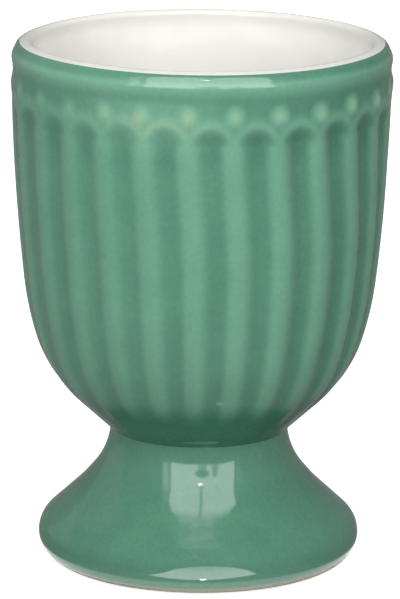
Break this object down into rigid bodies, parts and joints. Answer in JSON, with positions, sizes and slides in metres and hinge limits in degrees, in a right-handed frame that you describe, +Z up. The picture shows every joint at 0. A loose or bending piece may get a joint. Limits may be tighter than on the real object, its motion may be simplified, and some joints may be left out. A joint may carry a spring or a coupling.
{
  "type": "egg cup",
  "caption": "Footed egg cup of glazed stoneware: a fluted bowl with arches and beads under the rim, luted to a flared hollow foot.",
  "frame": {"origin": "on the cup's axis, on the plane that the foot ring stands on", "axes": "+Z up along the cup's axis; -Y faces the viewer of the picture, with +X to the right"},
  "size_m": [0.0504, 0.0502, 0.07],
  "materials": {
    "fired_clay": "matt, bare fired stoneware",
    "fired_slip": "matt",
    "white_glaze": "glossy warm white glaze",
    "green_glaze": "glossy sea green glaze, paler where it lies thin",
    "pooled_green_glaze": "glossy sea green glaze, darker where it pooled"
  },
  "bodies": {
    "root": {"bowl_body": "fired_clay", "foot_body": "fired_clay", "slip_joint": "fired_slip", "white_inner_glaze": "white_glaze", "green_bowl_glaze": "green_glaze", "pooled_flute_glaze": "pooled_green_glaze", "green_foot_glaze": "green_glaze", "green_recess_glaze": "green_glaze"}
  },
  "joints": []
}
